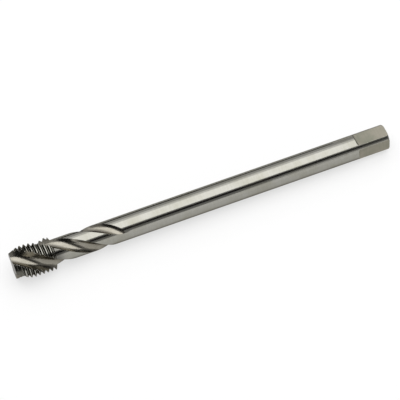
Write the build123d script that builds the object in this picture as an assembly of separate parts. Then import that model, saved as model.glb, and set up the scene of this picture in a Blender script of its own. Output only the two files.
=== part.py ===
from build123d import *
from math import acos, atan, atan2, ceil, cos, degrees, pi, radians, sin, sqrt, tan
import os

# A three-flute machine tap with right-hand spiral flutes, ground from one bar of tool steel.
# It is built standing on its tip, with its axis along +Z, and laid down at the end.
# Angles about the axis are in degrees, counter-clockwise seen from the square end.
# All sizes are in millimetres.

# Whole tool
overall_length = 93.5
shank_diameter = 6.0
neck_diameter = 5.92  # just behind the thread, from where it widens to the shank's diameter
neck_end = 28.5  # height at which it reaches that diameter

# Driving square
square_across_flats = 4.9
square_length = 8.0
end_round = 0.4  # radius round the end of the bar
square_turn = 34.5  # angle of the first corner

# Thread: 60 degree form, right-hand, one start
thread_diameter = 8.0
thread_pitch = 1.0
thread_angle = 60.0
thread_depth_share = 0.613  # depth of the groove as a share of the pitch
root_flat_share = 1 / 8  # flat at the bottom of the groove as a share of the pitch
thread_length = 9.5
thread_start = 0.0  # height at which the groove crosses angle zero
thread_back_chamfer = 0.45  # run of the slope from the last thread down to the shank

# Tapered lead at the tip
lead_tip_diameter = 5.9
lead_length = 2.1
lead_relief_angle = 6.0  # how fast each land of the lead falls away behind its cutting edge

# Flutes
flute_count = 3
flute_twist_length = 32.0  # height of one full turn
core_diameter = 3.7
hook_angle = 13.0  # undercut of the cutting face, from the radius through its edge
land_angle = 46.0  # width of each land at the thread's diameter
flute_turn = -44.0  # angle of the first cutting edge at the tip
flute_full_height = 18.4  # height at which the grinding wheel starts to lift out
wheel_radius = 42.0

# Rest: the side at angle zero faces down
rest_height = 3.6  # height above the tip of the crest that it lies on

# Working allowances
spare = 1.0  # how far a cutter stands out past what it cuts
groove_spare = 0.1  # the same for the thread groove, whose turns must not meet
section_step = 9.0  # twist between neighbouring sections of a flute
run_out_sections = 8

thread_radius = thread_diameter / 2
shank_radius = shank_diameter / 2
neck_radius = neck_diameter / 2
core_radius = core_diameter / 2
flute_spacing = 360 / flute_count
square_start = overall_length - square_length


def polar(radius, angle):
    """A point of a cross-section, from its radius and angle."""
    return Vector(radius * cos(radians(angle)), radius * sin(radians(angle)))


def twist_at(height):
    """How far the flutes have turned at a height above the tip."""
    return 360 * height / flute_twist_length


def make_blank():
    """The turned bar: tapered lead, threaded diameter, neck, shank and rounded end."""
    with BuildPart() as blank:
        with BuildSketch(Plane.XZ):
            with BuildLine():
                Polyline(
                    (shank_radius - end_round, overall_length),
                    (0, overall_length),
                    (0, 0),
                    (lead_tip_diameter / 2, 0),
                    (thread_radius, lead_length),
                    (thread_radius, thread_length),
                    (neck_radius, thread_length + thread_back_chamfer),
                    (shank_radius, neck_end),
                    (shank_radius, overall_length - end_round),
                )
                JernArc(
                    start=(shank_radius, overall_length - end_round),
                    tangent=(0, 1),
                    radius=end_round,
                    arc_size=90,
                )
            make_face()
        revolve(axis=Axis.Z)
    return blank.part


# Flute cross-section, with the cutting edge on the +X axis and the flute on its clockwise side.
# One arc leaves the cutting edge at the hook angle and touches the core. It runs on until its
# tangent meets the heel of the next land, or, where the arc is as wide as the flute, to the heel.
hook_sine = sin(radians(hook_angle))
root_arc_radius = (thread_radius**2 - core_radius**2) / (2 * core_radius + 2 * thread_radius * hook_sine)
root_arc_centre = Vector(
    thread_radius - root_arc_radius * hook_sine, -root_arc_radius * cos(radians(hook_angle))
)
root_angle = degrees(atan2(root_arc_centre.Y, root_arc_centre.X))
root_direction = polar(1, root_angle)
heel_angle = land_angle - flute_spacing


def flute_outline(height, lift, turn):
    """Closed outline of one flute cutter at a height, moved out from the core by a lift."""
    cutting_edge = polar(thread_radius, 0)
    heel = polar(thread_radius, heel_angle)
    to_heel = heel - root_arc_centre
    root = root_direction * core_radius
    if to_heel.length > root_arc_radius:
        heel_bearing = degrees(atan2(to_heel.Y, to_heel.X)) % 360
        arc_end_bearing = heel_bearing - degrees(acos(root_arc_radius / to_heel.length))
        arc_end = root_arc_centre + polar(root_arc_radius, arc_end_bearing)
        floor = [ThreePointArc(cutting_edge, root, arc_end).edge(), Line(arc_end, heel).edge()]
    else:
        floor = [ThreePointArc(cutting_edge, root, heel).edge()]
    outer_edge = polar(thread_radius + 2 * spare, 0)
    outer_heel = polar(thread_radius + 2 * spare, heel_angle)
    outside = [
        Line(heel, outer_heel).edge(),
        Line(outer_heel, outer_edge).edge(),
        Line(outer_edge, cutting_edge).edge(),
    ]
    outline = Wire(floor + outside)
    shift = root_direction * lift
    outline = Rot(0, 0, turn + twist_at(height)) * (Pos(shift.X, shift.Y, 0) * outline)
    return Pos(0, 0, height) * outline


flute_helix_angle = degrees(atan(2 * pi * shank_radius / flute_twist_length))


def wheel_lift(height):
    """How far the round wheel has lifted the flute's floor at a height."""
    run = (height - flute_full_height) / cos(radians(flute_helix_angle))
    return wheel_radius - sqrt(wheel_radius**2 - run**2)


def make_flute_cutters(index):
    """One flute as two solids: the full-depth twist and the run-out where the wheel lifts."""
    turn = flute_turn + index * flute_spacing
    floor_rise = shank_radius - core_radius
    run_to_surface = sqrt(2 * wheel_radius * floor_rise - floor_rise**2)
    run_out_height = run_to_surface * cos(radians(flute_helix_angle)) + spare
    full_sections = ceil(twist_at(flute_full_height + spare) / section_step)
    full_step = (flute_full_height + spare) / full_sections
    full = []
    for step in range(full_sections + 1):
        full.append(flute_outline(full_step * step - spare, 0, turn))
    run_out = []
    for step in range(run_out_sections + 1):
        height = flute_full_height + run_out_height * step / run_out_sections
        run_out.append(flute_outline(height, wheel_lift(height), turn))
    return [Solid.make_loft(full), Solid.make_loft(run_out)]


def make_lead_relief(index):
    """What is ground off one land of the lead, so that it falls away behind its edge."""
    relief_top = lead_length + 2 * spare
    slope = (thread_radius - lead_tip_diameter / 2) / lead_length
    radius_low = lead_tip_diameter / 2 - slope * spare
    radius_high = lead_tip_diameter / 2 + slope * relief_top
    height = relief_top + spare
    middle_turn = twist_at(lead_length / 2)
    edge_angle = flute_turn + index * flute_spacing + middle_turn
    offset = thread_radius * tan(radians(lead_relief_angle))
    centre = polar(offset, edge_angle - 90)
    up = (Align.CENTER, Align.CENTER, Align.MIN)
    cone = Pos(centre.X, centre.Y, -spare) * Cone(radius_low, radius_high, height, align=up)
    reach = 3 * thread_radius
    land_middle = edge_angle + land_angle / 2
    side = flute_spacing / 2
    wedge_corners = [
        (0, 0),
        tuple(polar(reach, land_middle - side))[:2],
        tuple(polar(reach, land_middle))[:2],
        tuple(polar(reach, land_middle + side))[:2],
    ]
    wedge_face = make_face(Polyline(*wedge_corners, close=True)).face()
    wedge = Pos(0, 0, -spare) * Solid.extrude(wedge_face, Vector(0, 0, height))
    return wedge - cone


groove_depth = thread_depth_share * thread_pitch
groove_root_radius = thread_radius - groove_depth
groove_outer_radius = thread_radius + groove_spare


def groove_half_width(radius):
    """Half the groove's width along the axis at a radius."""
    flank_slope = tan(radians(thread_angle / 2))
    return root_flat_share * thread_pitch / 2 + (radius - groove_root_radius) * flank_slope


def make_groove_segment(span):
    """A stretch of the thread groove, wound by an angle about its own middle."""
    low = groove_half_width(groove_root_radius)
    high = groove_half_width(groove_outer_radius)
    section = make_face(
        Polyline(
            (groove_root_radius, 0, low),
            (groove_outer_radius, 0, high),
            (groove_outer_radius, 0, -high),
            (groove_root_radius, 0, -low),
            close=True,
        )
    ).face()
    rise = thread_pitch * span / 360
    path = Helix(pitch=thread_pitch, height=rise, radius=groove_root_radius)
    segment = Solid.sweep(section, path=path, is_frenet=True)
    return Pos(0, 0, -rise / 2) * (Rot(0, 0, -span / 2) * segment)


def groove_places():
    """Height and angle of the groove's middle on each land, turn by turn."""
    overlap = 0.6  # share of the flute on each side that a segment reaches into
    span = land_angle + overlap * (flute_spacing - land_angle)
    rise_per_turn = thread_pitch / (1 - thread_pitch / flute_twist_length)
    for index in range(flute_count):
        land_middle = flute_turn + index * flute_spacing + land_angle / 2
        first = (thread_start + thread_pitch * land_middle / 360) / (1 - thread_pitch / flute_twist_length)
        height = first - rise_per_turn * (first // rise_per_turn)
        while height < thread_length + thread_pitch:
            yield height, land_middle + twist_at(height), span
            height += rise_per_turn


def make_square_waste():
    """What the driving square takes off the end of the shank."""
    height = square_length + spare
    up = (Align.CENTER, Align.CENTER, Align.MIN)
    ring = Cylinder(shank_radius + spare, height, align=up)
    core = Box(square_across_flats, square_across_flats, height, align=up)
    waste = Rot(0, 0, square_turn + 45) * (ring - core)
    return Pos(0, 0, square_start) * waste


def make_tap():
    tap = make_blank()
    for index in range(flute_count):
        for cutter in make_flute_cutters(index):
            tap = tap - cutter
    for index in range(flute_count):
        tap = tap - make_lead_relief(index)
    segment = None
    for height, angle, span in groove_places():
        segment = segment or make_groove_segment(span)
        tap = tap - Pos(0, 0, height) * (Rot(0, 0, angle) * segment)
    return tap - make_square_waste()


def lay_down(tap):
    """The tap at rest on one thread crest and the end of its round shank, tip towards -X."""
    tilt = atan((thread_radius - shank_radius) / (square_start - rest_height))
    lift = thread_radius * cos(tilt) + rest_height * sin(tilt)
    lying = Rot(0, degrees(tilt), 0) * (Rot(0, 90, 0) * tap)
    return Pos(-overall_length * cos(tilt) / 2, 0, lift) * lying


os.makedirs("parts", exist_ok=True)
thread_tap = lay_down(make_tap())
export_step(thread_tap, "parts/thread_tap.step")
print("thread_tap", round(thread_tap.volume, 1), "mm3", len(thread_tap.solids()), "solid")
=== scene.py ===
# %% [markdown]
# # A three-flute machine tap, ground from one bar
#
# A tap cuts an inside thread. Ours has four finishes on one piece of steel: a round ground shank,
# three polished spiral flutes, a darker cutting thread and a milled driving square. The real tool
# starts as a turned bar, and grinding wheels then take metal away. We work the same way: a
# lathe-like blank first, then one cutter for each wheel, subtracted with Boolean modifiers. A
# sculpted or subdivided mesh could look similar, but its edges would never be as crisp.

# %% Load the frame
from math import acos, atan, atan2, cos, degrees, pi, radians, sin, sqrt, tan

import bmesh
import bpy
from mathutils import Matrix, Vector


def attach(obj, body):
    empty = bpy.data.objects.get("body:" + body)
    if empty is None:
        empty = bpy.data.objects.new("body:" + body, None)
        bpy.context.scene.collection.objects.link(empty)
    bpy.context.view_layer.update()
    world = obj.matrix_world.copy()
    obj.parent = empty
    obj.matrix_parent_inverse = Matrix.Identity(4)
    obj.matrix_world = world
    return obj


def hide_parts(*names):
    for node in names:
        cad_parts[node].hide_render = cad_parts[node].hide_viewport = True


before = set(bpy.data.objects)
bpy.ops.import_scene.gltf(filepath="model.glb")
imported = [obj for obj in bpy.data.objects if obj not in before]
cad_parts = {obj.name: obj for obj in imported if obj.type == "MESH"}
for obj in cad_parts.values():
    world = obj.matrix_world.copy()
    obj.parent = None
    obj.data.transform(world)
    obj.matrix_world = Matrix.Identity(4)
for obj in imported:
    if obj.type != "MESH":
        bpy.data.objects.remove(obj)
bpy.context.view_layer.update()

mm = 0.001


def in_mm(lengths):
    return [round(length / mm, 2) for length in lengths]


# %% [markdown]
# ## The bar's sizes
#
# Every length below is in metres, because the frame is. The tap is modelled standing on its tip,
# with its axis up, since every cut is easy to describe there. It is laid down at the very end.
# The sizes are those of the CAD solid, so the new piece fills the same space. Only the lead is
# drawn a little fuller at the tip than in the solid, and relieved a little less.

# %% Sizes of the bar
overall_length = 93.5 * mm
shank_radius = 3.0 * mm
neck_radius = 2.96 * mm
neck_end = 28.5 * mm
end_round = 0.4 * mm
thread_radius = 4.0 * mm
thread_length = 9.5 * mm
thread_back = 0.45 * mm
lead_tip_radius = 3.2 * mm
lead_length = 2.1 * mm
print("thread and shank:", in_mm([2 * thread_radius, 2 * shank_radius]), "mm across")

# %% [markdown]
# ## Small helpers for working by hand
#
# An operator acts on everything that is selected, so each step starts by clearing the selection.
# Then one piece is made active, and edit mode opens it as the Tab key would. `outwards` turns all
# of its faces to the outside, which the Boolean cuts rely on.

# %% Helpers for selecting and editing
def deselect_all():
    bpy.ops.object.select_all(action="DESELECT")


def make_active(piece):
    deselect_all()
    piece.select_set(True)
    bpy.context.view_layer.objects.active = piece


def start_edit(piece):
    make_active(piece)
    bpy.ops.object.mode_set(mode="EDIT")


def end_edit():
    bpy.ops.object.mode_set(mode="OBJECT")


def outwards(piece):
    start_edit(piece)
    bpy.ops.mesh.select_all(action="SELECT")
    bpy.ops.mesh.normals_make_consistent(inside=False)
    end_edit()


deselect_all()
print("selected now:", len(bpy.context.selected_objects), "objects")

# %% [markdown]
# ## One empty material for each finish
#
# A Boolean cut can hand the cutter's material to the surface that it leaves. So each cutter carries
# the finish of its own wheel, and nobody has to pick thousands of small faces afterwards. The
# materials are only named here, and their nodes are built once the shape is done.

# %% Name the finishes
def finish_named(name):
    material = bpy.data.materials.new(name)
    material.use_nodes = True
    return material


def give_finish(piece, material):
    piece.data.materials.clear()
    piece.data.materials.append(material)


shank_steel = finish_named("ground shank steel")
flute_steel = finish_named("polished flute steel")
thread_steel = finish_named("dark thread steel")
square_steel = finish_named("milled square steel")
print("named:", [steel.name for steel in (shank_steel, flute_steel, thread_steel, square_steel)])

# %% [markdown]
# ## The turned blank
#
# A lathe leaves a bar whose radius changes along its length. We start from a disc at the tip and
# extrude it upwards, and after each extrusion the end face is scaled to the next radius. Spinning a
# drawn profile would do as well, but here each line reads as one move of the turning tool. The
# end's rim is then rounded with a bevel. 360 sides are enough for reflections to run straight.

# %% Turn the blank
turned_sides = 360
rim_steps = 6


def extrude_up(rise):
    bpy.ops.mesh.extrude_region_move(TRANSFORM_OT_translate={"value": (0, 0, rise)})


def grow(radius_now, radius_next, rise):
    """Extrude the end face upwards and bring it to its next radius."""
    extrude_up(rise)
    share = radius_next / radius_now
    bpy.ops.transform.resize(value=(share, share, 1), center_override=(0, 0, 0))


deselect_all()
bpy.ops.mesh.primitive_circle_add(vertices=turned_sides, radius=lead_tip_radius, fill_type="NGON")
tap = bpy.context.object
tap.name = "spiral_flute_tap"
give_finish(tap, shank_steel)
start_edit(tap)
bpy.ops.mesh.select_all(action="SELECT")
grow(lead_tip_radius, thread_radius, lead_length)
grow(thread_radius, thread_radius, thread_length - lead_length)
grow(thread_radius, neck_radius, thread_back)
grow(neck_radius, shank_radius, neck_end - thread_length - thread_back)
grow(shank_radius, shank_radius, overall_length - neck_end)
bpy.ops.mesh.region_to_loop()
bpy.ops.mesh.bevel(offset=end_round, offset_type="OFFSET", segments=rim_steps, affect="EDGES")
end_edit()
outwards(tap)
print("blank:", len(tap.data.polygons), "faces,", in_mm(tap.dimensions), "mm")

# %% [markdown]
# ## One flute cutter
#
# A round wheel grinds each flute while the bar turns, so the cutter is one outline that climbs and
# twists. The outline is an arc that leaves the cutting edge at the hook angle and touches the core,
# then a straight line that is tangent to it and ends at the heel of the next land. The arc and the
# corners are worked out first, with the cutting edge on the X axis and all angles in degrees.

# %% Work out the flute's outline
flute_count = 3
flute_spacing = 360 / flute_count
core_radius = 1.85 * mm
hook_angle = 13.0
land_angle = 46.0
spare = 1.0 * mm  # how far a cutter stands out past what it cuts


def polar(radius, angle):
    return Vector((radius * cos(radians(angle)), radius * sin(radians(angle)), 0))


def bearing(point):
    return degrees(atan2(point.y, point.x))


hook_sine = sin(radians(hook_angle))
arc_radius = (thread_radius**2 - core_radius**2) / (2 * core_radius + 2 * thread_radius * hook_sine)
arc_centre = Vector((thread_radius - arc_radius * hook_sine, -arc_radius * cos(radians(hook_angle)), 0))
heel_angle = land_angle - flute_spacing
heel = polar(thread_radius, heel_angle)
to_heel = heel - arc_centre
tangent_turn = degrees(acos(arc_radius / to_heel.length))
arc_start_bearing = 90 - hook_angle
arc_end_bearing = bearing(to_heel) % 360 - tangent_turn
outer_radius = thread_radius + 2 * spare
foot = Vector((0, 0, -spare))
print("flute arc:", in_mm([arc_radius]), "mm radius, ends at bearing", round(arc_end_bearing, 1))

# %% [markdown]
# Now the outline is drawn. Vertices are picked by their place, as a hand with the mouse would pick
# them, and a picked vertex is extruded to the next corner, which draws one side.

# %% Helpers for drawing an outline
near = 0.0001 * mm  # points closer than this count as one point


def place_now(piece):
    """Write the piece's place, turn and size into its mesh."""
    make_active(piece)
    bpy.ops.object.transform_apply(location=True, rotation=True, scale=True)


def pick_vertices(piece, test):
    bpy.ops.mesh.select_mode(type="VERT")
    bpy.ops.mesh.select_all(action="DESELECT")
    mesh = bmesh.from_edit_mesh(piece.data)
    for vertex in mesh.verts:
        vertex.select = test(vertex.co)
    mesh.select_flush(True)
    bmesh.update_edit_mesh(piece.data)


def draw_on(piece, start, end):
    """Extrude the vertex at a point to another point, as with the E key."""
    pick_vertices(piece, lambda place: (place - start).length < near)
    bpy.ops.mesh.extrude_vertices_move(TRANSFORM_OT_translate={"value": end - start})


print("points closer than", near / mm, "mm count as one")

# %% [markdown]
# The arc comes from a circle whose unwanted points are deleted. The straight sides are extruded
# from its last point, corner by corner. One more edge closes the loop, which is then filled.

# %% Draw the flute's outline
arc_sides = 180
quarter_step = 360 / arc_sides / 4


def on_arc(place):
    return arc_start_bearing - quarter_step <= bearing(place - arc_centre) % 360 < arc_end_bearing


deselect_all()
bpy.ops.mesh.primitive_circle_add(
    vertices=arc_sides,
    radius=arc_radius,
    location=arc_centre + foot,
    rotation=(0, 0, radians(-hook_angle)),
)
flute_cutter = bpy.context.object
flute_cutter.name = "flute_cutter"
place_now(flute_cutter)
start_edit(flute_cutter)
pick_vertices(flute_cutter, lambda place: not on_arc(place))
bpy.ops.mesh.delete(type="VERT")
arc_points = sorted(
    (vertex.co.copy() for vertex in bmesh.from_edit_mesh(flute_cutter.data).verts),
    key=lambda place: bearing(place - arc_centre) % 360,
)
arc_end = arc_centre + polar(arc_radius, arc_end_bearing) + foot
outer_heel = polar(outer_radius, heel_angle) + foot
outer_edge = polar(outer_radius, 0) + foot
corners = (arc_points[-1], arc_end, heel + foot, outer_heel, outer_edge)
for start, end in zip(corners, corners[1:]):
    draw_on(flute_cutter, start, end)
loose_ends = (arc_points[0], outer_edge)
pick_vertices(flute_cutter, lambda place: min((place - end).length for end in loose_ends) < near)
bpy.ops.mesh.edge_face_add()
bpy.ops.mesh.select_all(action="SELECT")
bpy.ops.mesh.edge_face_add()
end_edit()
print("outline:", len(flute_cutter.data.vertices), "points,", len(flute_cutter.data.polygons), "face")

# %% [markdown]
# The outline now climbs in short steps. Each step is extrude, turn, and above a certain height a
# small move away from the axis. That move is the wheel lifting out of the work: because the wheel
# is round, the flute's floor comes up to the shank along a circle, which gives the long curved
# run-outs behind the thread. `turn` has a minus sign because, with no window open, the rotate
# operator goes the other way.

# %% Twist the flute cutter
twist_length = 32.0 * mm
flute_turn = -44.0
flute_full_height = 18.4 * mm
wheel_radius = 42.0 * mm
twist_steps = 120
helix_angle = atan(2 * pi * shank_radius / twist_length)
floor_rise = shank_radius - core_radius
run_out_height = sqrt(2 * wheel_radius * floor_rise - floor_rise**2) * cos(helix_angle)
cutter_top = flute_full_height + run_out_height + spare
root_angle = bearing(arc_centre)


def turn(angle):
    bpy.ops.transform.rotate(value=-radians(angle), orient_axis="Z", center_override=(0, 0, 0))


def twist_at(height):
    return 360 * height / twist_length


def wheel_lift(height):
    run = max(0, height - flute_full_height) / cos(helix_angle)
    return wheel_radius - sqrt(wheel_radius**2 - run**2)


rise = (cutter_top + spare) / twist_steps
start_edit(flute_cutter)
bpy.ops.mesh.select_all(action="SELECT")
turn(flute_turn + twist_at(-spare))
for step in range(twist_steps):
    below = -spare + step * rise
    above = below + rise
    extrude_up(rise)
    turn(twist_at(rise))
    lift = wheel_lift(above) - wheel_lift(below)
    if lift > 0:
        bpy.ops.transform.translate(value=polar(lift, flute_turn + twist_at(above) + root_angle))
end_edit()
outwards(flute_cutter)
give_finish(flute_cutter, flute_steel)
print("flute cutter:", len(flute_cutter.data.polygons), "faces, top at", in_mm([cutter_top]), "mm")

# %% [markdown]
# The three flutes are alike and evenly spaced. So one cutter is made, and the others are copies of
# it, turned about the tap's axis. Each copy has a mesh of its own.

# %% Copy the flute cutter
flute_cutters = [flute_cutter]
for index in range(1, flute_count):
    make_active(flute_cutter)
    bpy.ops.object.duplicate(linked=False)
    another = bpy.context.object
    another.rotation_euler.z = radians(index * flute_spacing)
    place_now(another)
    flute_cutters.append(another)
print("flute cutters:", [cutter.name for cutter in flute_cutters])

# %% [markdown]
# ## Subtracting a cutter
#
# The Boolean modifier's Manifold solver is fast and exact enough here, because every cutter and the
# blank are closed. `TRANSFER` brings the cutter's material along. The cutter is removed afterwards.

# %% Grind the flutes
def cut(piece, cutter):
    modifier = piece.modifiers.new("cut", "BOOLEAN")
    modifier.operation = "DIFFERENCE"
    modifier.object = cutter
    modifier.solver = "MANIFOLD"
    modifier.material_mode = "TRANSFER"
    make_active(piece)
    bpy.ops.object.modifier_apply(modifier=modifier.name)
    bpy.data.objects.remove(cutter)


for cutter in flute_cutters:
    cut(tap, cutter)
print("fluted:", len(tap.data.polygons), "faces")

# %% [markdown]
# ## Relief on the lead
#
# The first two millimetres are tapered so that the tap starts easily. Behind each cutting edge the
# lead falls away a little, or it would rub. The wheel that does this grinds a cone whose axis is off
# centre. Our cutter is a sector of a fan, extruded, with that off-centre cone taken out of it.

# %% Make the relief cutters
relief_angle = 3.0
relief_top = lead_length + 2 * spare
relief_height = relief_top + spare
relief_offset = thread_radius * tan(radians(relief_angle))
lead_slope = (thread_radius - lead_tip_radius) / lead_length


def pick_faces(piece, test):
    bpy.ops.mesh.select_mode(type="FACE")
    bpy.ops.mesh.select_all(action="DESELECT")
    mesh = bmesh.from_edit_mesh(piece.data)
    for face in mesh.faces:
        face.select = test(face)
    bmesh.update_edit_mesh(piece.data)


def make_sector(middle_angle):
    """A block over one land of the lead, as wide as the spacing of the flutes."""
    deselect_all()
    bpy.ops.mesh.primitive_circle_add(
        vertices=2 * flute_count,
        radius=3 * thread_radius,
        fill_type="TRIFAN",
        location=foot,
        rotation=(0, 0, radians(middle_angle - 90)),
    )
    sector = bpy.context.object
    place_now(sector)
    ahead = polar(1, middle_angle).xy
    widest = cos(radians(flute_spacing / 2))
    start_edit(sector)
    pick_faces(sector, lambda face: face.calc_center_median().xy.normalized().dot(ahead) <= widest)
    bpy.ops.mesh.delete(type="FACE")
    bpy.ops.mesh.select_all(action="SELECT")
    extrude_up(relief_height)
    end_edit()
    outwards(sector)
    give_finish(sector, shank_steel)
    return sector


def make_lead_cone(edge_angle):
    """The cone that the relief of one land leaves, with its axis off centre."""
    deselect_all()
    bpy.ops.mesh.primitive_cone_add(
        vertices=turned_sides,
        radius1=lead_tip_radius - lead_slope * spare,
        radius2=lead_tip_radius + lead_slope * relief_top,
        depth=relief_height,
        location=polar(relief_offset, edge_angle - 90) + Vector((0, 0, relief_height / 2 - spare)),
    )
    cone = bpy.context.object
    place_now(cone)
    give_finish(cone, shank_steel)
    return cone


print("relief:", relief_angle, "degrees, axis off centre by", in_mm([relief_offset]), "mm")

# %% [markdown]
# The flutes twist a little over the height of the lead, so each cutter is turned to where the
# cutting edge stands halfway up.

# %% Relieve the lead
for index in range(flute_count):
    edge_angle = flute_turn + index * flute_spacing + twist_at(lead_length / 2)
    sector = make_sector(edge_angle + land_angle / 2)
    cut(sector, make_lead_cone(edge_angle))
    cut(tap, sector)
print("relieved:", len(tap.data.polygons), "faces")

# %% [markdown]
# ## The thread
#
# A 60 degree groove winds round the bar and climbs one pitch a turn. A small plane is pulled into
# the groove's section, wider outside than at its root. Only its edges are kept, and the Screw
# modifier winds them into a helix.

# %% Wind the thread groove
thread_pitch = 1.0 * mm
thread_angle = 60.0
thread_depth = 0.613 * mm
root_flat = 0.125 * mm
groove_spare = 0.1 * mm  # less than for the other cutters, because its turns must not meet
groove_turns = 13
steps_per_turn = 144
groove_root = thread_radius - thread_depth
groove_outer = thread_radius + groove_spare
groove_depth = groove_outer - groove_root
outer_flat = root_flat + 2 * groove_depth * tan(radians(thread_angle / 2))
groove_foot = -2 * thread_pitch
deselect_all()
bpy.ops.mesh.primitive_plane_add(
    size=1,
    location=((groove_root + groove_outer) / 2, 0, groove_foot),
    rotation=(radians(90), 0, 0),
)
groove = bpy.context.object
groove.name = "groove_cutter"
groove.scale = (groove_depth, root_flat, 1)
place_now(groove)
start_edit(groove)
pick_vertices(groove, lambda place: place.x > thread_radius)
bpy.ops.transform.resize(value=(1, 1, outer_flat / root_flat), center_override=(0, 0, groove_foot))
bpy.ops.mesh.select_all(action="SELECT")
bpy.ops.mesh.delete(type="ONLY_FACE")
end_edit()
winding = groove.modifiers.new("winding", "SCREW")
winding.axis = "Z"
winding.angle = 2 * pi
winding.screw_offset = thread_pitch
winding.iterations = groove_turns
winding.steps = steps_per_turn
winding.render_steps = steps_per_turn
bpy.ops.object.modifier_apply(modifier=winding.name)
print("groove:", groove_turns, "turns,", len(groove.data.polygons), "faces")

# %% [markdown]
# The wound groove is a tube with a hole at each end, where its section starts and stops. Each hole
# is filled with one face, because a cutter has to be closed, and then the groove cuts like the rest.

# %% Cut the thread
start_edit(groove)
bpy.ops.mesh.select_all(action="SELECT")
bpy.ops.mesh.fill_holes(sides=4)
end_edit()
outwards(groove)
give_finish(groove, thread_steel)
cut(tap, groove)
print("threaded:", len(tap.data.polygons), "faces")

# %% [markdown]
# ## The driving square
#
# Four flats are milled on the end, at right angles, and the corners between them keep the round of
# the shank. One block stands for the milling cutter. It is placed four times, turned by 90 degrees.
# A milling cutter's own corner is never sharp, so the block's inner lower edge is bevelled round,
# and it leaves a small hollow where each flat meets its shoulder.

# %% Mill the square
flat_distance = 2.45 * mm
square_length = 8.0 * mm
square_turn = 34.5  # angle of the first corner
block_depth = 2 * mm
mill_corner = 0.45 * mm
mill_corner_steps = 5
square_start = overall_length - square_length


def make_mill_block(side_angle):
    """What the milling cutter takes off at one flat."""
    middle = polar(flat_distance + block_depth / 2, side_angle)
    middle.z = square_start + (square_length + spare) / 2
    deselect_all()
    bpy.ops.mesh.primitive_cube_add(size=1, location=middle, rotation=(0, 0, radians(side_angle)))
    block = bpy.context.object
    block.scale = (block_depth, 4 * shank_radius, square_length + spare)
    place_now(block)
    outside = polar(1, side_angle)
    start_edit(block)
    pick_vertices(
        block,
        lambda place: place.z < square_start + near and place.dot(outside) < flat_distance + near,
    )
    bpy.ops.mesh.bevel(
        offset=mill_corner, offset_type="OFFSET", segments=mill_corner_steps, affect="EDGES"
    )
    end_edit()
    give_finish(block, square_steel)
    return block


for side in range(4):
    cut(tap, make_mill_block(square_turn + 45 + 90 * side))
print("milled:", len(tap.data.polygons), "faces")

# %% [markdown]
# ## Lands and tip
#
# All that is left of the blank's own surface still carries the shank's finish. That suits the
# crests of the thread, which are ground bright. The tapered lead and the slope behind the thread
# are as dark as the grooves, so their faces are picked by height and material and get the thread's
# finish. The flat face of the tip looks straight down, and keeps the shank's.

# %% Give the lands their finish
dark_slope_end = thread_length + 0.6 * thread_back
straight_down = -0.95  # only the tip's flat face has a normal that points down more than this
if thread_steel.name not in tap.data.materials:
    tap.data.materials.append(thread_steel)
shank_slot = tap.data.materials.find(shank_steel.name)
thread_slot = tap.data.materials.find(thread_steel.name)


def is_dark_land(face):
    height = face.calc_center_median().z
    off_crests = height < lead_length or thread_length < height < dark_slope_end
    return off_crests and face.material_index == shank_slot and face.normal.z > straight_down


start_edit(tap)
pick_faces(tap, is_dark_land)
tap.active_material_index = thread_slot
bpy.ops.object.material_slot_assign()
bpy.ops.mesh.select_all(action="SELECT")
bpy.ops.mesh.remove_doubles(threshold=near)
end_edit()
print("dark faces:", sum(face.material_index == thread_slot for face in tap.data.polygons))

# %% [markdown]
# After so many cuts the mesh is measured. It is closed when each of its edges has exactly two
# faces, and only then does its volume mean anything.

# %% Measure the mesh
measured = bmesh.new()
measured.from_mesh(tap.data)
open_edges = sum(not edge.is_manifold for edge in measured.edges)
print("closed:", open_edges == 0, "volume", round(measured.calc_volume() / mm**3, 1), "mm3")
measured.free()

# %% [markdown]
# ## Laying the tap down
#
# The thread is wider than the shank, so the tap rests on one crest and on the end of its round
# shank, and its axis falls by less than a degree. Both turns are about Y, so they add up. The turn
# and the move go into the mesh, which leaves the object itself at the origin. Edges sharper than 25
# degrees stay crisp, and everything flatter is shaded as one smooth surface.

# %% Lay it down and smooth it
rest_height = 3.6 * mm  # height above the tip of the crest that it lies on
crease_angle = 25
tilt = atan((thread_radius - shank_radius) / (square_start - rest_height))
axis_height = thread_radius * cos(tilt) + rest_height * sin(tilt)
lying_place = (-overall_length * cos(tilt) / 2, 0, axis_height)
lying_turn = (0, radians(90) + tilt, 0)
tap.location = lying_place
tap.rotation_euler = lying_turn
place_now(tap)
bpy.ops.object.shade_smooth_by_angle(angle=radians(crease_angle))
print("tap lies:", in_mm(tap.dimensions), "mm, tilted by", round(degrees(tilt), 2), "degrees")

# %% [markdown]
# ## Small helpers for nodes
#
# The finishes are built from node groups, so that one effect can serve several of them. A group's
# sockets are declared by name and kind. `feed` lets the same line take a number, a colour or what
# another node puts out.

# %% Helpers for nodes
def new_group(name, inputs, outputs):
    """A new group, with the sockets that it reads from and the ones that it puts out."""
    group = bpy.data.node_groups.new(name, "ShaderNodeTree")
    for label, kind in inputs:
        group.interface.new_socket(name=label, in_out="INPUT", socket_type=kind)
    for label, kind in outputs:
        group.interface.new_socket(name=label, in_out="OUTPUT", socket_type=kind)
    print("group started:", name)
    return group, group.nodes.new("NodeGroupInput").outputs, group.nodes.new("NodeGroupOutput").inputs


def add(tree, kind, **settings):
    node = tree.nodes.new(kind)
    for label, value in settings.items():
        setattr(node, label, value)
    return node


def feed(tree, socket, value):
    if isinstance(value, bpy.types.NodeSocket):
        tree.links.new(value, socket)
    else:
        socket.default_value = value


def math_node(tree, operation, *values):
    node = add(tree, "ShaderNodeMath", operation=operation)
    for socket, value in zip(node.inputs, values):
        feed(tree, socket, value)
    return node.outputs[0]


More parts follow.
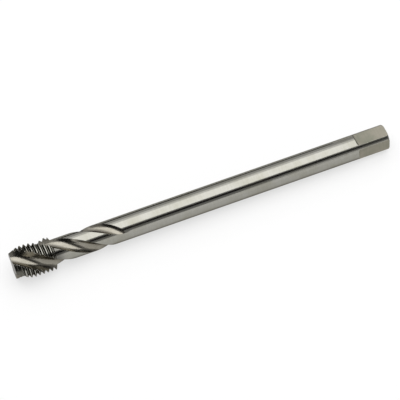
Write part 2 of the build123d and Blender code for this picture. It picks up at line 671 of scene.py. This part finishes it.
# %% [markdown]
# ## Where a point is on the tool
#
# Ground steel shows how each wheel moved over it, so every finish needs to know the tool's own
# directions. This node group turns the object's coordinates back to the standing tap, with its axis
# along Z and its tip at zero. It also gives an unwound copy, in which the spiral flutes run straight
# up, because the angle of the turn grows with the height. Noise that is stretched along one of
# these directions becomes a grinding mark that follows the wheel.

# %% Group: place on the tap
place_group, _, place_out = new_group(
    "place on the tap",
    [],
    [("Standing", "NodeSocketVector"), ("Unwound", "NodeSocketVector"), ("Height", "NodeSocketFloat")],
)
coordinates = add(place_group, "ShaderNodeTexCoord")
stand_up = add(place_group, "ShaderNodeMapping", vector_type="TEXTURE")
stand_up.inputs["Location"].default_value = lying_place
stand_up.inputs["Rotation"].default_value = lying_turn
place_group.links.new(coordinates.outputs["Object"], stand_up.inputs["Vector"])
standing = stand_up.outputs[0]
split = add(place_group, "ShaderNodeSeparateXYZ")
place_group.links.new(standing, split.inputs[0])
unwind = add(place_group, "ShaderNodeVectorRotate", rotation_type="Z_AXIS")
unwind_angle = math_node(place_group, "MULTIPLY", split.outputs["Z"], -2 * pi / twist_length)
place_group.links.new(standing, unwind.inputs["Vector"])
place_group.links.new(unwind_angle, unwind.inputs["Angle"])
place_group.links.new(standing, place_out["Standing"])
place_group.links.new(unwind.outputs[0], place_out["Unwound"])
place_group.links.new(split.outputs["Z"], place_out["Height"])
print("nodes:", len(place_group.nodes))

# %% [markdown]
# ## Grinding marks
#
# A wheel leaves fine lines of uneven depth. Noise is squeezed across the marks and stretched along
# them. A fine layer makes the grain and a coarse one makes the few deeper lines that catch the eye.
# The group gives one height for the Bump node and one streak mask for colour and roughness.

# %% Group: grinding marks
def add_noise(tree, place, scale, detail):
    node = add(tree, "ShaderNodeTexNoise")
    tree.links.new(place, node.inputs["Vector"])
    node.inputs["Scale"].default_value = scale
    node.inputs["Detail"].default_value = detail
    return node.outputs[0]


def add_mask(tree, value, start, end, **settings):
    """Nought where a value is at the start, and one where it is at the end."""
    node = add(tree, "ShaderNodeMapRange", **settings)
    tree.links.new(value, node.inputs["Value"])
    node.inputs["From Min"].default_value = start
    node.inputs["From Max"].default_value = end
    return node.outputs[0]


grain_share = 0.6
marks_group, marks_in, marks_out = new_group(
    "grinding marks",
    [("Place", "NodeSocketVector"), ("Lines per metre", "NodeSocketVector")],
    [("Height", "NodeSocketFloat"), ("Streaks", "NodeSocketFloat")],
)
stretched = add(marks_group, "ShaderNodeVectorMath", operation="MULTIPLY")
marks_group.links.new(marks_in["Place"], stretched.inputs[0])
marks_group.links.new(marks_in["Lines per metre"], stretched.inputs[1])
grain = add_noise(marks_group, stretched.outputs[0], scale=1.0, detail=3.0)
coarse = add_noise(marks_group, stretched.outputs[0], scale=0.23, detail=2.0)
streaks = add_mask(marks_group, coarse, 0.35, 0.65)
mark_height = math_node(marks_group, "MULTIPLY_ADD", grain, grain_share, streaks)
marks_group.links.new(mark_height, marks_out["Height"])
marks_group.links.new(streaks, marks_out["Streaks"])
print("nodes:", len(marks_group.nodes))

# %% [markdown]
# ## Handling film and stains
#
# Oil, fingers and air leave steel a little warmer and duller in soft patches, a few millimetres
# across. One group mixes the clean colour with the stained one and gives the roughness that
# belongs to it, so that colour and gloss change together, as they do on the real surface.

# %% Group: handled steel
def mix_colours(tree, share, first, second):
    """The first colour at a share of nought, and the second one at a share of one."""
    node = add(tree, "ShaderNodeMix", data_type="RGBA")
    tree.links.new(share, node.inputs["Factor"])
    # A Mix node has its own sockets for each kind of data. These are the ones for colours.
    feed(tree, node.inputs[6], first)
    feed(tree, node.inputs[7], second)
    return node.outputs[2]


patch_share = 0.7
streak_share = 0.3
added_roughness = 0.06
film_group, film_in, film_out = new_group(
    "handled steel",
    [
        ("Place", "NodeSocketVector"),
        ("Clean", "NodeSocketColor"),
        ("Stained", "NodeSocketColor"),
        ("Streaks", "NodeSocketFloat"),
        ("Roughness", "NodeSocketFloat"),
    ],
    [("Color", "NodeSocketColor"), ("Roughness", "NodeSocketFloat")],
)
clouds = add_noise(film_group, film_in["Place"], scale=260.0, detail=4.0)
patches = add_mask(film_group, clouds, 0.42, 0.68)
patch_part = math_node(film_group, "MULTIPLY", patches, patch_share)
stain = math_node(film_group, "MULTIPLY_ADD", film_in["Streaks"], streak_share, patch_part)
film_colour = mix_colours(film_group, stain, film_in["Clean"], film_in["Stained"])
duller = math_node(film_group, "MULTIPLY_ADD", stain, added_roughness, film_in["Roughness"])
film_group.links.new(film_colour, film_out["Color"])
film_group.links.new(duller, film_out["Roughness"])
print("nodes:", len(film_group.nodes))

# %% [markdown]
# ## Edges
#
# No real edge is perfectly sharp. The Bevel node rounds the shading over a few hundredths of a
# millimetre, without any new faces. Where its normal differs from the true one there is an edge, and
# that difference becomes a mask for steel that is rubbed bright on crests and corners.

# %% Group: rubbed edges
edge_group, edge_in, edge_out = new_group(
    "rubbed edges",
    [("Width", "NodeSocketFloat")],
    [("Normal", "NodeSocketVector"), ("Edge", "NodeSocketFloat")],
)
rounded = add(edge_group, "ShaderNodeBevel", samples=8)
edge_group.links.new(edge_in["Width"], rounded.inputs["Radius"])
true_side = add(edge_group, "ShaderNodeNewGeometry")
same_way = add(edge_group, "ShaderNodeVectorMath", operation="DOT_PRODUCT")
edge_group.links.new(rounded.outputs[0], same_way.inputs[0])
edge_group.links.new(true_side.outputs["Normal"], same_way.inputs[1])
edge_mask = add_mask(edge_group, same_way.outputs["Value"], 0.995, 0.90)
edge_group.links.new(rounded.outputs[0], edge_out["Normal"])
edge_group.links.new(edge_mask, edge_out["Edge"])
print("nodes:", len(edge_group.nodes))

# %% [markdown]
# ## Painted shade in the flutes
#
# The Ambient Occlusion node tells how open a place is, and the more it is closed in, the darker its
# colour is painted. This is painted shade in the flutes' recesses.

# %% Group: painted shade in recesses
shade_reach = 3 * mm
# painted shade: the dark colour that closed-in places are mixed towards
painted_shade_colour = (0.035, 0.030, 0.022, 1)
recess_shade_group, recess_shade_in, recess_shade_out = new_group(
    "painted shade in recesses",
    [("Color", "NodeSocketColor"), ("Painted shade", "NodeSocketFloat")],
    [("Color", "NodeSocketColor")],
)
openness = add(recess_shade_group, "ShaderNodeAmbientOcclusion", samples=8)
openness.inputs["Distance"].default_value = shade_reach
closed_in = add_mask(recess_shade_group, openness.outputs["AO"], 0.85, 0.60)
painted_shade_part = math_node(recess_shade_group, "MULTIPLY", closed_in, recess_shade_in["Painted shade"])
shaded_colour = mix_colours(recess_shade_group, painted_shade_part, recess_shade_in["Color"], painted_shade_colour)
recess_shade_group.links.new(shaded_colour, recess_shade_out["Color"])
print("nodes:", len(recess_shade_group.nodes))

# %% [markdown]
# ## Painted shade behind the thread
#
# The thread has a dark finish of its own. The neck just behind it is painted darker too, as painted
# shade that dims the highlight on its land there, and this fades out along the neck. This group
# mixes a colour with the dark shade colour by the height above the tip. Nothing below the end of the
# thread changes, so the ground crests stay clean.

# %% Group: painted neck shade
shade_full_height = thread_length + 0.6 * mm
shade_end_height = thread_length + 3.2 * mm
# painted shade: the dark colour that the neck behind the thread is mixed towards
neck_shade_colour = (0.10, 0.097, 0.088, 1)
neck_shade_group, neck_shade_in, neck_shade_out = new_group(
    "painted neck shade",
    [("Color", "NodeSocketColor"), ("Height", "NodeSocketFloat"), ("Neck shade", "NodeSocketFloat")],
    [("Color", "NodeSocketColor")],
)
fade = add_mask(
    neck_shade_group, neck_shade_in["Height"], shade_end_height, shade_full_height, interpolation_type="SMOOTHSTEP"
)
behind_thread = math_node(neck_shade_group, "GREATER_THAN", neck_shade_in["Height"], thread_length)
faded_shade = math_node(neck_shade_group, "MULTIPLY", fade, behind_thread)
neck_shade_part = math_node(neck_shade_group, "MULTIPLY", faded_shade, neck_shade_in["Neck shade"])
neck_shaded_colour = mix_colours(neck_shade_group, neck_shade_part, neck_shade_in["Color"], neck_shade_colour)
neck_shade_group.links.new(neck_shaded_colour, neck_shade_out["Color"])
print("nodes:", len(neck_shade_group.nodes))

# %% [markdown]
# ## The four finishes
#
# All four are bare metal, so each is a metallic Principled shader that is fed by the groups above
# with its own values. The colour is first the handled steel's, then painted shade darkens its
# recesses and the neck behind the thread, and the rubbed edges lie over all of it.

# %% Put a finish together
grazing_tint = (0.35, 0.34, 0.32, 1)


def use_group(tree, group, values):
    """Place a group in a tree, feed its inputs, and hand back what it puts out."""
    node = add(tree, "ShaderNodeGroup", node_tree=group)
    for label, value in values.items():
        feed(tree, node.inputs[label], value)
    return node.outputs


def build_finish(
    material, clean, stained, rubbed, roughness, lines, mark_depth, edge_width,
    unwound=False, shade_in_recesses=0.0, neck_shade=0.0,
):
    tree = material.node_tree
    place = use_group(tree, place_group, {})
    marks_place = place["Unwound" if unwound else "Standing"]
    marks = use_group(tree, marks_group, {"Place": marks_place, "Lines per metre": lines})
    handled = use_group(
        tree,
        film_group,
        {
            "Place": place["Standing"],
            "Clean": (*clean, 1),
            "Stained": (*stained, 1),
            "Streaks": marks["Streaks"],
            "Roughness": roughness,
        },
    )
    recess_shaded = use_group(tree, recess_shade_group, {"Color": handled["Color"], "Painted shade": shade_in_recesses})
    neck_shaded = use_group(
        tree, neck_shade_group, {"Color": recess_shaded["Color"], "Height": place["Height"], "Neck shade": neck_shade}
    )
    edges = use_group(tree, edge_group, {"Width": edge_width})
    bump = add(tree, "ShaderNodeBump")
    bump.inputs["Strength"].default_value = 1.0
    bump.inputs["Distance"].default_value = mark_depth
    tree.links.new(marks["Height"], bump.inputs["Height"])
    tree.links.new(edges["Normal"], bump.inputs["Normal"])
    shader = tree.nodes["Principled BSDF"]
    shader.inputs["Metallic"].default_value = 1.0
    shader.inputs["Specular Tint"].default_value = grazing_tint
    colour = mix_colours(tree, edges["Edge"], neck_shaded["Color"], (*rubbed, 1))
    tree.links.new(colour, shader.inputs["Base Color"])
    tree.links.new(handled["Roughness"], shader.inputs["Roughness"])
    tree.links.new(bump.outputs[0], shader.inputs["Normal"])
    print("finish built:", material.name, "with", len(tree.nodes), "nodes")


# %% [markdown]
# The shank is the smoothest. Its marks run round it, and so do those of the thread and the square.
# The flutes' marks run along the spiral, and painted shade darkens their recesses. The thread is left
# dark between its rubbed crests.

# %% Build the finishes
micron = 0.001 * mm
round_the_axis = (900, 900, 22000)
along_the_flute = (16000, 16000, 500)
build_finish(
    shank_steel,
    clean=(0.320, 0.315, 0.288),
    stained=(0.272, 0.266, 0.226),
    rubbed=(0.42, 0.41, 0.38),
    roughness=0.11,
    lines=round_the_axis,
    mark_depth=0.4 * micron,
    edge_width=0.04 * mm,
    # painted shade on the neck behind the thread
    neck_shade=0.8,
)
build_finish(
    flute_steel,
    clean=(0.310, 0.293, 0.252),
    stained=(0.240, 0.224, 0.185),
    rubbed=(0.40, 0.38, 0.34),
    roughness=0.20,
    lines=along_the_flute,
    mark_depth=0.8 * micron,
    edge_width=0.06 * mm,
    unwound=True,
    # painted shade in the flutes' recesses
    shade_in_recesses=0.8,
)
build_finish(
    thread_steel,
    clean=(0.130, 0.127, 0.108),
    stained=(0.080, 0.078, 0.063),
    rubbed=(0.62, 0.60, 0.55),
    roughness=0.24,
    lines=round_the_axis,
    mark_depth=1.0 * micron,
    edge_width=0.05 * mm,
)
build_finish(
    square_steel,
    clean=(0.305, 0.282, 0.235),
    stained=(0.225, 0.229, 0.180),
    rubbed=(0.40, 0.39, 0.36),
    roughness=0.36,
    lines=round_the_axis,
    mark_depth=1.5 * micron,
    edge_width=0.05 * mm,
)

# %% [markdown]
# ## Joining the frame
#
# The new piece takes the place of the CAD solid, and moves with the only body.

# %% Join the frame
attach(tap, "root")
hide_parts("thread_tap")
print("joined:", tap.name, "with", [material.name for material in tap.data.materials])

# %% [markdown]
# ## Floor
#
# The floor is plain and pale, and takes the tap's shadow. Part of its colour is a white of its own,
# which only the camera and mirrors see. So the ground comes out bright, and the light that the
# floor throws back on the tap doesn't change.

# %% Lay the floor
scene = bpy.context.scene
scene.view_settings.view_transform = "Standard"
floor_side = 6
own_white = 0.62


def plain_material(name, colour):
    material = finish_named(name)
    shader = material.node_tree.nodes["Principled BSDF"]
    shader.inputs["Base Color"].default_value = (*colour, 1)
    shader.inputs["Roughness"].default_value = 1.0
    shader.inputs["Specular IOR Level"].default_value = 0.0
    return material


deselect_all()
bpy.ops.mesh.primitive_plane_add(size=floor_side)
floor = bpy.context.object
floor.name = "floor"
floor_material = plain_material("pale floor", (0.90, 0.90, 0.90))
give_finish(floor, floor_material)
floor_tree = floor_material.node_tree
ray = add(floor_tree, "ShaderNodeLightPath")
seen = math_node(floor_tree, "MAXIMUM", ray.outputs["Is Camera Ray"], ray.outputs["Is Glossy Ray"])
seen = math_node(floor_tree, "MAXIMUM", seen, ray.outputs["Is Transmission Ray"])
white_part = math_node(floor_tree, "MULTIPLY", seen, own_white)
white = add(floor_tree, "ShaderNodeEmission")
white.inputs["Color"].default_value = (1, 1, 1, 1)
white.inputs["Strength"].default_value = 1.0
floor_mix = add(floor_tree, "ShaderNodeMixShader")
floor_tree.links.new(white_part, floor_mix.inputs[0])
floor_tree.links.new(floor_tree.nodes["Principled BSDF"].outputs[0], floor_mix.inputs[1])
floor_tree.links.new(white.outputs[0], floor_mix.inputs[2])
floor_tree.links.new(floor_mix.outputs[0], floor_tree.nodes["Material Output"].inputs["Surface"])
print("floor:", floor_side, "m wide,", own_white, "of its colour is its own white")

# %% [markdown]
# ## Light panels
#
# Polished steel shows the room, so the light is the other half of its look. Soft panels hang along
# an arc over the tap, and each is given by the angles that it fills, counted from the front horizon
# over the top. The wide one overhead makes the broad bright band along the shank, and the two behind
# it are weaker and weaker, so the far side darkens in steps. The front one lifts the lower side, and
# a short one above it does the same a little further up, at the square's end only.

# %% Hang the panels
panel_distance = 0.8


def spot_on_arc(angle, distance, along):
    """A place at an angle above the front horizon, in the plane across the tap."""
    return (along, -cos(radians(angle)) * distance, sin(radians(angle)) * distance)


def arc_width(low, high, distance):
    """How wide a flat thing is that fills the arc between two angles."""
    return 2 * distance * tan(radians((high - low) / 2))


def add_panel(name, low, high, radiance, length=1.3, along=0.1):
    """A soft light that fills the arc between two angles and faces the tap."""
    middle = (low + high) / 2
    width = arc_width(low, high, panel_distance)
    panel = bpy.data.lights.new(name, "AREA")
    panel.shape = "RECTANGLE"
    panel.size = length
    panel.size_y = width
    panel.energy = radiance * pi * width * length
    lamp = bpy.data.objects.new(name, panel)
    scene.collection.objects.link(lamp)
    lamp.location = spot_on_arc(middle, panel_distance, along)
    lamp.rotation_euler = (radians(90 - middle), 0, 0)
    lamp.visible_camera = False
    print(name, "from", low, "to", high, "degrees,", round(panel.energy, 2), "W")


add_panel("overhead panel", 68, 128, 2.0)
add_panel("back panel", 128, 147, 1.05)
add_panel("low back panel", 147, 174, 0.4)
add_panel("front panel", -2, 24, 0.8)
add_panel("front end panel", 24, 31, 0.8, length=0.3, along=0.4)

# %% [markdown]
# ## Dark cards
#
# Black cards help as much as lights do, because the dark lines on a polished thing show its shape.
# The front card fills part of the gap between the front panels and the overhead one. It makes the
# thin dark line that tells the eye that the bar is round, and it is rolled in its own plane, so that
# one end of the line lies higher. The others stand upright. One to the left and one to the right
# darken the thread's flanks and the flute walls that look that way, and two low strips behind the
# tap darken what would mirror the floor there. Only reflections see them.

# %% Set up the cards
dark_card = plain_material("dark card", (0.012, 0.012, 0.012))


def set_card(name, place, turns, width, height):
    """A dark card, turned about its own Z axis first, then about Y and X."""
    deselect_all()
    bpy.ops.mesh.primitive_plane_add(size=1)
    card = bpy.context.object
    card.name = name
    card.location = place
    card.rotation_mode = "ZYX"
    card.rotation_euler = [radians(angle) for angle in turns]
    card.scale = (width, height, 1)
    card.visible_camera = False
    card.visible_diffuse = False
    card.visible_shadow = False
    give_finish(card, dark_card)
    print(name, "at", in_mm(card.location), "mm")


def hang_card(name, low, high, distance, length, along, roll):
    """A card that fills the arc between two angles, rolled so that one end is higher."""
    middle = (low + high) / 2
    place = spot_on_arc(middle, distance, along)
    set_card(name, place, (90 - middle, 0, roll), length, arc_width(low, high, distance))


def stand_card(name, corner_low, corner_high):
    """An upright card across X or Y, between two corners."""
    low, high = Vector(corner_low), Vector(corner_high)
    middle, reach = (low + high) / 2, high - low
    if reach.x < near:
        set_card(name, middle, (0, 90, 0), reach.z, reach.y)
    else:
        set_card(name, middle, (90, 0, 0), reach.x, reach.z)


hang_card("front card", 39.5, 55.5, distance=0.7, length=0.96, along=-0.12, roll=8)
stand_card("left card", (-0.25, -1.5, 0.0), (-0.25, -0.06, 0.34))
stand_card("right card", (0.45, -0.25, 0.15), (0.45, 0.6, 0.6))
stand_card("far card", (-0.12, 0.035, 0.0), (0.042, 0.035, 0.006))
stand_card("far left card", (-0.12, 0.034, 0.0), (0.005, 0.034, 0.009))

# %% [markdown]
# ## The rest of the room
#
# Between the panels and the cards the steel mirrors a plain grey room. It also fills the shadows a
# little, so nothing on the tap goes quite black.

# %% Light the room
room_strength = 0.3
world = bpy.data.worlds.new("soft room")
scene.world = world
world.use_nodes = True
background = world.node_tree.nodes["Background"]
background.inputs["Color"].default_value = (1, 1, 1, 1)
background.inputs["Strength"].default_value = room_strength
print("room:", world.name, "at", room_strength)

# %% [markdown]
# ## Camera
#
# The camera looks down at the tap from the front, turned a little so that the tool runs up to the
# right, from about half a metre away with a long lens. It stays in perspective, without any blur.

# %% Camera
camera_azimuth = 21.71
camera_height = 63.0  # degrees above the floor
camera_distance = 0.5005
sensor_width = 36.0
lens = 193.2
target = Vector((-0.00045, 0.00026, 0.0035))
towards = Vector(
    (
        -sin(radians(camera_azimuth)) * cos(radians(camera_height)),
        -cos(radians(camera_azimuth)) * cos(radians(camera_height)),
        sin(radians(camera_height)),
    )
)
camera_data = bpy.data.cameras.new("camera")
camera = bpy.data.objects.new("camera", camera_data)
scene.collection.objects.link(camera)
camera.location = target + towards * camera_distance
camera.rotation_euler = (radians(90 - camera_height), 0, radians(-camera_azimuth))
camera_data.sensor_width = sensor_width
camera_data.lens = lens
camera_data.clip_start = 0.01
camera_data.clip_end = 20.0
scene.camera = camera
print("camera at", in_mm(camera.location), "mm, lens", lens, "mm")
